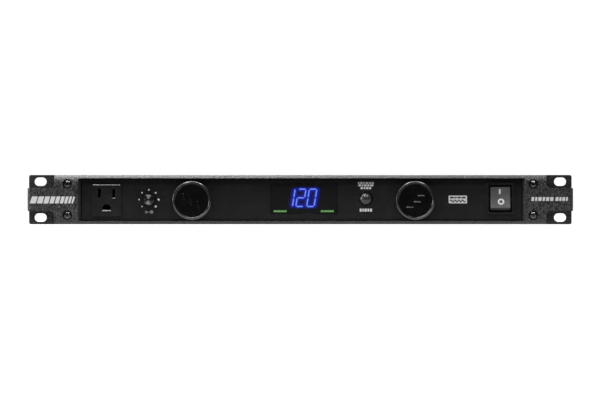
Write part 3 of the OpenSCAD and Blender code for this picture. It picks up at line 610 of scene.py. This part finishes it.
def dimmer():
    """Fluted knob with a turned metal face carrying a painted highlight, a scale of growing dots and a
    small-to-large mark.
    """
    lo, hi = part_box("dimmer_knob")
    cx, cz = (lo.x + hi.x) / 2, (lo.z + hi.z) / 2
    r = (hi.x - lo.x) / 2
    dimmer_grip(lo, hi)
    bm = bmesh.new()
    face_y, back_y, edge_r = lo.y + 0.2 * MM, lo.y + 0.45 * MM, 0.89 * r
    profile = [(0, face_y), (0.87 * r, face_y), (edge_r, face_y + 0.05 * MM), (edge_r, back_y), (0, back_y)]
    lathe(bm, profile, cx, cz, 96)
    smooth(mesh_piece("dimmer_face", bm, TURNED, "dimmer"))
    # Painted highlight: grey wedges above and below the middle, with satin lines along their edges, where the
    # turned face catches the light.
    half = math.radians(HIGHLIGHT_WEDGE_HALF)
    highlight_wedges = [sector(cx, cz, 0.9 * MM, 0.8 * r, math.radians(a), half) for a in HIGHLIGHT_WEDGES]
    print_on("dimmer_painted_highlight", highlight_wedges, face_y, GREY_INK_AND_HIGHLIGHT, "dimmer")
    half = math.radians(HIGHLIGHT_EDGE_HALF)
    highlight_arms = [sector(cx, cz, 1.0 * MM, 0.86 * r, math.radians(a), half) for a in HIGHLIGHT_EDGES]
    print_on("dimmer_painted_highlight_edges", highlight_arms, face_y - PRINT_T, HIGHLIGHT_SATIN, "dimmer")

    panel_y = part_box("front_panel")[0].y
    dots = []
    for i, dot_r in enumerate(DOT_RADII):
        a = math.radians(SCALE_START - SCALE_STEP * i)
        dots.append(disc(cx + SCALE_R * math.cos(a), cz + SCALE_R * math.sin(a), dot_r * MM))
    print_on("dimmer_scale", dots, panel_y, WHITE_INK)
    mark_z = cz - DIMMER_MARK_DROP
    mark = [disc(cx + dx * MM, mark_z + dz * MM, dot_r * MM) for dx, dz, dot_r in MARK_DOTS]
    mark.append(rounded(cx, mark_z, MARK_BAR[0] * MM, MARK_BAR[1] * MM, 0.3 * MM))
    print_on("dimmer_mark", mark, panel_y, GREY_INK_AND_HIGHLIGHT)


# ---------------------------------------------------------------- outlet


# How deep a rib's foot is set into the face, the height of its crest, and of its underside
RIB_FOOT, RIB_CREST, RIB_UNDER = 0.05 * MM, 0.12 * MM, 0.2 * MM


def outlet_ribs():
    """Low ribs along the top of the front outlet and under its openings, which catch the light from above."""
    lo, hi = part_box("front_outlet")
    cx, cz = (lo.x + hi.x) / 2, (lo.z + hi.z) / 2
    # Distance right of the outlet's middle, height of the top edge, width, and height of the slope
    places = (
        (0.0, hi.z - 0.15 * MM, hi.x - lo.x - 1.6 * MM, 0.75 * MM),
        (0.1 * MM, cz - 8.5 * MM, 7.4 * MM, 1.0 * MM),
        (6.35 * MM, cz + 2.3 * MM, 2.8 * MM, 0.6 * MM),
    )
    bm = bmesh.new()
    for dx, top, width, drop in places:
        crest_y, crest_z = lo.y - 0.5 * drop, top - drop
        section = ((lo.y + RIB_FOOT, top), (crest_y, crest_z), (crest_y, crest_z - RIB_CREST),
                   (lo.y + RIB_FOOT, crest_z - RIB_UNDER))
        ends = (cx + dx - width / 2, cx + dx + width / 2)
        one, two = ([bm.verts.new((x, y, z)) for y, z in section] for x in ends)
        for i in range(4):
            j = (i + 1) % 4
            bm.faces.new([one[i], one[j], two[j], two[i]])
        bm.faces.new(one)
        bm.faces.new(two[::-1])
    mesh_piece("outlet_ribs", bm, DARK_GLOSS, "case")


# ---------------------------------------------------------------- meter

# Lit bars of each digit, lettered as usual: a on top, then clockwise, g in the middle
DIGITS = ("bc", "abged", "abcdef")
# Width of a bar's own place and of the lit line in it, width and pitch of the digits, gap at a bar's ends
STROKE, LIT_STROKE, DIGIT_W, DIGIT_PITCH, BAR_GAP = 1.6 * MM, 1.15 * MM, 8.2 * MM, 9.6 * MM, 0.35 * MM
DIGIT_LEAN = math.tan(math.radians(9))
# Halo on the display face: cells across and down, distance off the face, and strength
HALO_CELLS, HALO_LIFT, HALO_STRENGTH = (90, 52), 0.02 * MM, 1.3
# How far it reaches from a lit bar, and how wide it fades out along the face's edge
HALO_REACH, HALO_FADE = 2.0 * MM, 1.5 * MM
# Green legends: width of each, then the widths, height, gap and lean of its bars, in mm
LEGEND_W, LEGEND_BARS = 12.4 * MM, ((1.7, 1.2, 1.9, 1.4, 1.8, 1.5), 1.7, 0.35, 0.15)


def segment_outline(cx, cz, length, width, upright, lean):
    """A display bar with pointed ends, slanted with its digit."""
    a, c = length / 2, width / 2
    b = a - c
    outline = [(-a, 0), (-b, c), (b, c), (a, 0), (b, -c), (-b, -c)]
    if upright:
        outline = [(z, x) for x, z in outline]
    return [(cx + x + lean * (cz + z), cz + z) for x, z in outline]


def lit_segments():
    """Outline of each lit bar and the ends of its centre line, from the CAD bars' own box."""
    lo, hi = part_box("display_segments")
    cz, height = (lo.z + hi.z) / 2, hi.z - lo.z
    cx = middle("meter_display").x
    half_w, half_h = (DIGIT_W - STROKE) / 2, (height - STROKE) / 2
    places = {
        "a": (0, half_h, False), "b": (half_w, half_h / 2, True), "c": (half_w, -half_h / 2, True),
        "d": (0, -half_h, False), "e": (-half_w, -half_h / 2, True), "f": (-half_w, half_h / 2, True),
        "g": (0, 0, False),
    }
    bars, spines = [], []
    for i, lit in enumerate(DIGITS):
        for name in lit:
            x, z, upright = places[name]
            length = (half_h if upright else 2 * half_w) - 2 * BAR_GAP
            outline = segment_outline(x, z, length, LIT_STROKE, upright, DIGIT_LEAN)
            dx = cx + (i - 1) * DIGIT_PITCH
            bars.append([(px + dx, pz + cz) for px, pz in outline])
            reach = length / 2 - STROKE / 2
            ends = [(0, -reach), (0, reach)] if upright else [(-reach, 0), (reach, 0)]
            spines.append([(dx + x + ex + DIGIT_LEAN * (z + ez), cz + z + ez) for ex, ez in ends])
    return bars, spines


def distance_to(spine, x, z):
    """Distance from (x, z) to a bar's centre line."""
    (x0, z0), (x1, z1) = spine
    dx, dz = x1 - x0, z1 - z0
    t = max(0.0, min(1.0, ((x - x0) * dx + (z - z0) * dz) / (dx * dx + dz * dz)))
    return math.hypot(x - x0 - t * dx, z - z0 - t * dz)


def halo(face_lo, face_hi, spines):
    """Thin sheet on the display face that glows round the lit bars."""
    across, down = HALO_CELLS
    bm = bmesh.new()
    layer = bm.verts.layers.float.new("halo")
    grid = []
    for i in range(across + 1):
        column = []
        for j in range(down + 1):
            x = face_lo.x + (face_hi.x - face_lo.x) * i / across
            z = face_lo.z + (face_hi.z - face_lo.z) * j / down
            vert = bm.verts.new((x, face_lo.y - HALO_LIFT, z))
            near = min(distance_to(spine, x, z) for spine in spines)
            edge = min(x - face_lo.x, face_hi.x - x, z - face_lo.z, face_hi.z - z)
            vert[layer] = math.exp(-(near / HALO_REACH) ** 2) * min(1.0, edge / HALO_FADE)
            column.append(vert)
        grid.append(column)
    for i in range(across):
        for j in range(down):
            bm.faces.new([grid[i][j], grid[i + 1][j], grid[i + 1][j + 1], grid[i][j + 1]])
    s = Surface("halo_blue", (0.004, 0.004, 0.01), 0.5)
    s.relief(s.noise(0.4, 2), 0.01)
    reader = s.node("ShaderNodeAttribute")
    reader.attribute_name = "halo"
    s.set("Emission Color", (0.02, 0.03, 1.0, 1.0))
    s.link(s.spread(reader.outputs["Fac"], 0.0, HALO_STRENGTH, 0.0, 1.0), "Emission Strength")
    mesh_piece("display_halo", bm, s.mat, "case")


def display():
    """Lit digits with their glow on the display face, the dark mask round them, and the green legends."""
    lo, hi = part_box("display_segments")
    bars, spines = lit_segments()
    bm = bmesh.new()
    for outline in bars:
        slab(bm, outline, lo.y, hi.y)
    digits = mesh_piece("lit_digits", bm, GLOW_BLUE, "case")
    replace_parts(digits, "display_segments")

    face_lo, face_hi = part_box("meter_display")
    halo(face_lo, face_hi, spines)

    lens_lo, lens_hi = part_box("meter_window")
    edge, behind_face = 0.4 * MM, 0.3 * MM
    mask = rounded((lens_lo.x + lens_hi.x) / 2, (lens_lo.z + lens_hi.z) / 2,
                   lens_hi.x - lens_lo.x - 2 * edge, lens_hi.z - lens_lo.z - 2 * edge, 0.5 * MM)
    print_on("meter_mask", [mask], face_lo.y + behind_face, SLOTS["display_black"])

    lo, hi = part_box("status_lights")
    marks = []
    for x0 in (lo.x, hi.x - LEGEND_W):
        marks += dashes(x0 + LEGEND_W / 2, (lo.z + hi.z) / 2, *LEGEND_BARS)
    legends = print_on("green_legends", marks, lo.y, GLOW_GREEN)
    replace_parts(legends, "status_lights")


# ---------------------------------------------------------------- button, breaker, badge


def dashes(cx, cz, widths, height, gap, lean=0.0):
    """A centred row of rounded bars, sized in mm, which stands where a legend would be printed."""
    total = sum(widths) + gap * (len(widths) - 1)
    x, row = cx - total * MM / 2, []
    for w in widths:
        row.append(rounded(x + w * MM / 2, cz, w * MM, height * MM, 0.3 * MM, lean))
        x += (w + gap) * MM
    return row


# Depth of the button's crown, back of its cap along Y, and radius of its stem
CROWN, CAP_BACK, STEM_R = 1.9 * MM, -0.6 * MM, 1.8 * MM
# Rows of bars printed at the button: height above its axis, widths, height of the bars, all in mm
BUTTON_ROWS = (
    (14.1, (1.3, 2.2, 1.2, 2.4, 1.7, 1.9), 1.8), (12.0, (2.6, 1.3, 2.2, 1.8, 2.9), 1.7),
    (9.6, (2.1, 1.4, 2.2, 1.6), 1.9), (-9.9, (1.7, 1.2, 2.1, 1.4, 1.9), 2.7),
)
BUTTON_ROW_GAP = 0.65


def meter_button():
    """Crowned push button and the bars printed above and below it."""
    lo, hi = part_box("meter_button")
    cx, cz = (lo.x + hi.x) / 2, (lo.z + hi.z) / 2
    r, rim_y = (hi.x - lo.x) / 2, lo.y + CROWN
    bm = bmesh.new()
    profile = [(0.94 * r * i / 10, lo.y + CROWN * (i / 10) ** 2) for i in range(11)]
    profile += [(0.985 * r, rim_y + 0.2 * MM), (r, rim_y + 0.6 * MM)]
    profile += [(r, CAP_BACK), (STEM_R, CAP_BACK), (STEM_R, hi.y), (0, hi.y)]
    lathe(bm, profile, cx, cz, 72)
    cap = smooth(mesh_piece("button_cap", bm, SLOTS["button_grey"], "meter_button"), 60)
    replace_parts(cap, "meter_button")
    panel_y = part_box("front_panel")[0].y
    marks = []
    for dz, widths, height in BUTTON_ROWS:
        marks += dashes(cx, cz + dz * MM, widths, height, BUTTON_ROW_GAP)
    print_on("button_legends", marks, panel_y, WHITE_INK)


# Badge: size, how far left of the space's middle and above the panel's middle it is
BADGE_W, BADGE_H, BADGE_LEFT, BADGE_UP = 16.3 * MM, 6.9 * MM, 2.2 * MM, 0.1 * MM
# Its wave: length, height of a crest, how far below the badge's middle, line width, points, points a turn
WAVE_LENGTH, WAVE_CREST, WAVE_DROP, WAVE_LINE = 13.4 * MM, 0.85 * MM, 1.3 * MM, 0.8 * MM
WAVE_POINTS, WAVE_TURN = 60, 15
# Its dashes: how far above the badge's middle, then their widths, height and gap in mm
BADGE_DASH_UP, BADGE_DASHES = 1.7 * MM, ((3.2, 2.0, 2.8, 3.6), 1.4, 0.7)


def badge():
    """White printed plate with dashes and a sine wave, right of the right light."""
    panel_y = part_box("front_panel")[0].y
    lights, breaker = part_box("right_light_knob")[1].x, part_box("breaker_housing")[0].x
    cx, cz = (lights + breaker) / 2 - BADGE_LEFT, BADGE_UP
    print_on("badge_plate", [rounded(cx, cz, BADGE_W, BADGE_H, 0.6 * MM)], panel_y, WHITE_INK)
    wave = []
    for t in range(WAVE_POINTS + 1):
        z = cz - WAVE_DROP + WAVE_CREST * math.sin(TAU * t / WAVE_TURN)
        wave.append((cx + (t / WAVE_POINTS - 0.5) * WAVE_LENGTH, z))
    marks = [ribbon(wave, WAVE_LINE)] + dashes(cx, cz + BADGE_DASH_UP, *BADGE_DASHES)
    print_on("badge_wave", marks, panel_y - PRINT_T, BLACK_INK)


# Breaker rocker: radius of its ends about the pivot, half its length, depth of its crease, tilt at rest
ROCKER = {"end_r": 11.2 * MM, "half": 9.35 * MM, "dip": 1.7 * MM, "tilt": math.radians(-12)}
# On mark: distance left of the pivot and up from the crease, width, height and corner radius
ON_LEFT, ON_UP, ON_W, ON_H, ON_CORNER = 0.5 * MM, 5.5 * MM, 1.5 * MM, 4.4 * MM, 0.4 * MM
# Off mark: distance right of the pivot and down from the crease, outer and inner radius, steps round it
OFF_RIGHT, OFF_DOWN, OFF_OUTER, OFF_INNER, OFF_STEPS = 0.5 * MM, 3.75 * MM, 2.9 * MM, 1.5 * MM, 40


def on_rocker(x, s, lift, pivot):
    """Place on the breaker rocker's front at rest: x across, s up from the crease, lift off the face."""
    half, dip = ROCKER["half"], ROCKER["dip"]
    face = math.hypot(half, dip)
    up = 1 if s >= 0 else -1
    crease = dip - math.sqrt(ROCKER["end_r"] ** 2 - half ** 2)
    y = crease - abs(s) * dip / face - lift * half / face
    z = s * half / face - up * lift * dip / face
    c, k = math.cos(ROCKER["tilt"]), math.sin(ROCKER["tilt"])
    return Vector((x, pivot.y + y * c - z * k, pivot.z + y * k + z * c))


def breaker_marks():
    """On and off marks on the two halves of the rocker."""
    joint = next(j for j in record["behaviour"]["joints"] if j["name"] == "breaker_toggle")
    pivot = Vector(joint["pos_m"])
    bm = bmesh.new()

    def mark(outline):
        """A flat shape, given by (x, s) points, lying on the rocker's face."""
        front = [bm.verts.new(on_rocker(x, s, PRINT_T, pivot)) for x, s in outline]
        back = [bm.verts.new(on_rocker(x, s, 0.0, pivot)) for x, s in outline]
        bm.faces.new(front)
        bm.faces.new(back[::-1])
        for i in range(len(outline)):
            j = (i + 1) % len(outline)
            bm.faces.new([front[i], back[i], back[j], front[j]])

    mark(rounded(pivot.x - ON_LEFT, ON_UP, ON_W, ON_H, ON_CORNER))
    cx = pivot.x + OFF_RIGHT
    for i in range(OFF_STEPS):
        a, b = TAU * i / OFF_STEPS, TAU * (i + 1) / OFF_STEPS
        corners = ((OFF_INNER, a), (OFF_OUTER, a), (OFF_OUTER, b), (OFF_INNER, b))
        mark([(cx + r * math.cos(t), r * math.sin(t) - OFF_DOWN) for r, t in corners])
    mesh_piece("breaker_marks", bm, WHITE_INK, "breaker_rocker")


# ---------------------------------------------------------------- ears


# Stripes of the left ear: how many, the first one's width, and how much narrower each next one is
STRIPES, STRIPE_W, STRIPE_LESS = 9, 5.2 * MM, 0.45 * MM
# Their gap, height, distance from the ear's end, height of their middle, and lean
STRIPE_GAP, STRIPE_H, STRIPE_START, STRIPE_Z, STRIPE_LEAN = 0.95 * MM, 6.2 * MM, 3.2 * MM, -0.3 * MM, 0.3
# Groups of dashes on the right ear: distance of their middle from the ear's end, widths and gap, in mm
EAR_GROUPS = ((27.4, (2.4, 1.8, 3.0, 2.2, 2.6, 2.9), 0.9), (10.3, (2.6, 2.0, 2.4, 1.8), 0.7))
# Height of their middle, then their own height in mm and lean
EAR_DASH_Z, EAR_DASH_H, EAR_DASH_LEAN = 0.5 * MM, 3.4, 0.12


def ear_marks():
    """Slanted stripes on the left ear and two groups of dashes on the right one, as plain decoration."""
    lo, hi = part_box("faceplate")
    stripes, x = [], lo.x + STRIPE_START
    for i in range(STRIPES):
        w = STRIPE_W - STRIPE_LESS * i
        stripes.append(rounded(x + w / 2, STRIPE_Z, w, STRIPE_H, 0.35 * MM, STRIPE_LEAN))
        x += w + STRIPE_GAP
    print_on("left_ear_stripes", stripes, lo.y, WHITE_INK)
    marks = []
    for inward, widths, gap in EAR_GROUPS:
        marks += dashes(hi.x - inward * MM, EAR_DASH_Z, widths, EAR_DASH_H, gap, EAR_DASH_LEAN)
    print_on("right_ear_dashes", marks, lo.y, WHITE_INK)


# ---------------------------------------------------------------- stage

# Floor: half its side, its glow for the camera near the object and far off, and the distances between them
FLOOR_REACH, FLOOR_GLOW, FAR_GLOW, GLOW_RANGE = 6.0, 0.88, 1.02, (0.35, 0.9)
# Its glow for the object, which fades away in front of the object between these places along Y
FLOOR_BOUNCE, BOUNCE_RANGE = 0.72, (-0.12, -0.03)
# Surroundings: their strength for the camera, the way to their bright side, and their strength for the
# object as the slope towards that side goes over its range
WORLD_SEEN, BRIGHT_SIDE, SLOPE_RANGE = 1.05, (0.0, 0.85, 0.53), (-0.35, 0.75)
FRONT_DARK, BACK_BRIGHT = 0.02, 0.9
# Rectangular lights: place, the point they face, size, and brightness against white
LAMPS = {
    "overhead": ((-0.5, 0.2, 0.6), (-0.5, 0.2, 0.0), (1.16, 0.9), 5.8),
    "key": ((-0.66, -1.4, 1.95), (-0.1, 0, 0), (0.35, 0.5), 19.0),
    "second_key": ((0.75, -1.4, 1.85), (0.1, 0, 0), (0.35, 0.5), 22.0),
    "side": ((-1.6, -0.3, 0.25), (0, 0, 0), (0.6, 0.5), 8.0),
    "rear_fill": ((0.3, 1.8, 1.0), (0, 0.1, 0), (1.4, 0.8), 1.2),
}
# Camera: distance from the faceplate, share of the picture that the object's width fills, and place
CAMERA_DISTANCE, WIDTH_SHARE = 3.0, 0.9103
EYE_X, EYE_Z = -0.3 * MM, -0.35 * MM


def add_floor(height):
    """White floor: it glows for the camera, takes a pale shadow, and lights the object from close by only."""
    bm = bmesh.new()
    corners = [(-FLOOR_REACH, -FLOOR_REACH), (FLOOR_REACH, -FLOOR_REACH), (FLOOR_REACH, FLOOR_REACH),
               (-FLOOR_REACH, FLOOR_REACH)]
    bm.faces.new([bm.verts.new((x, y, height)) for x, y in corners])
    mesh = bpy.data.meshes.new("floor")
    bm.to_mesh(mesh)
    bm.free()
    floor = bpy.data.objects.new("floor", mesh)
    bpy.context.scene.collection.objects.link(floor)
    pale = Surface("pale_floor", (0.03, 0.03, 0.03), 0.9)
    pale.set("Specular IOR Level", 0.0)
    seen = pale.node("ShaderNodeLightPath").outputs["Is Camera Ray"]
    pale.tint(pale.noise(200, 2), (0.031, 0.031, 0.031))
    pale.tint(seen, (0.15, 0.15, 0.15))
    pale.set("Emission Color", (1.0, 1.0, 1.0, 1.0))
    split = pale.node("ShaderNodeSeparateXYZ")
    pale.tree.links.new(pale.place, split.inputs["Vector"])
    bounce = pale.spread(split.outputs["Y"], 0.0, FLOOR_BOUNCE, *BOUNCE_RANGE)
    away = pale.node("ShaderNodeVectorMath")
    away.operation = "LENGTH"
    pale.tree.links.new(pale.place, away.inputs[0])
    glow_now = pale.node("ShaderNodeMix")
    pale.tree.links.new(seen, glow_now.inputs["Factor"])
    pale.tree.links.new(bounce, glow_now.inputs["A"])
    seen_glow = pale.spread(away.outputs["Value"], FLOOR_GLOW, FAR_GLOW, *GLOW_RANGE)
    pale.tree.links.new(seen_glow, glow_now.inputs["B"])
    pale.link(glow_now.outputs["Result"], "Emission Strength")
    mesh.materials.append(pale.mat)


def add_world():
    """White for the camera; for the object, bright behind and above, and dark in front of it."""
    world = bpy.data.worlds.new("studio")
    bpy.context.scene.world = world
    world.use_nodes = True
    tree = world.node_tree
    tree.nodes.clear()

    def node(kind):
        return tree.nodes.new("ShaderNode" + kind)

    slope = node("VectorMath")
    slope.operation = "DOT_PRODUCT"
    slope.inputs[1].default_value = BRIGHT_SIDE
    tree.links.new(node("TexCoord").outputs["Generated"], slope.inputs[0])
    ramp = node("MapRange")
    ramp.interpolation_type = "SMOOTHSTEP"
    values = (*SLOPE_RANGE, FRONT_DARK, BACK_BRIGHT)
    for socket, value in zip(("From Min", "From Max", "To Min", "To Max"), values):
        ramp.inputs[socket].default_value = value
    tree.links.new(slope.outputs["Value"], ramp.inputs["Value"])
    lit, seen, mix, out = node("Background"), node("Background"), node("MixShader"), node("OutputWorld")
    tree.links.new(ramp.outputs["Result"], lit.inputs["Strength"])
    seen.inputs["Color"].default_value = (1, 1, 1, 1)
    seen.inputs["Strength"].default_value = WORLD_SEEN
    tree.links.new(node("LightPath").outputs["Is Camera Ray"], mix.inputs["Fac"])
    tree.links.new(lit.outputs["Background"], mix.inputs[1])
    tree.links.new(seen.outputs["Background"], mix.inputs[2])
    tree.links.new(mix.outputs["Shader"], out.inputs["Surface"])


def softbox(name, place, aim, size, radiance):
    """Rectangular light, as bright as radiance times white."""
    light = bpy.data.lights.new(name, "AREA")
    light.shape = "RECTANGLE"
    light.size, light.size_y = size
    light.energy = radiance * math.pi * size[0] * size[1]
    lamp = bpy.data.objects.new(name, light)
    bpy.context.scene.collection.objects.link(lamp)
    lamp.location = place
    lamp.visible_camera = False
    lamp.rotation_mode = "QUATERNION"
    lamp.rotation_quaternion = (Vector(aim) - Vector(place)).to_track_quat("-Z", "Y")


def stage():
    """White floor and surroundings, softboxes above, in front, at the left and behind, and the camera."""
    lo, hi = cad_bounds
    add_floor(lo.z)
    add_world()
    for name, (place, aim, size, radiance) in LAMPS.items():
        softbox(name, place, aim, size, radiance)

    camera = bpy.data.cameras.new("camera")
    eye = bpy.data.objects.new("camera", camera)
    bpy.context.scene.collection.objects.link(eye)
    camera.sensor_width = 36.0
    camera.lens = camera.sensor_width * CAMERA_DISTANCE / ((hi.x - lo.x) / WIDTH_SHARE)
    camera.clip_start, camera.clip_end = 0.1, 50.0
    front_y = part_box("faceplate")[0].y
    eye.location = (EYE_X, front_y - CAMERA_DISTANCE, EYE_Z)
    eye.rotation_euler = (math.pi / 2, 0, 0)
    bpy.context.scene.camera = eye
    bpy.context.scene.view_settings.view_transform = "Standard"


dress_cad()
for side in ("left", "right"):
    light_knob(side)
dimmer()
outlet_ribs()
display()
meter_button()
badge()
breaker_marks()
ear_marks()
stage()
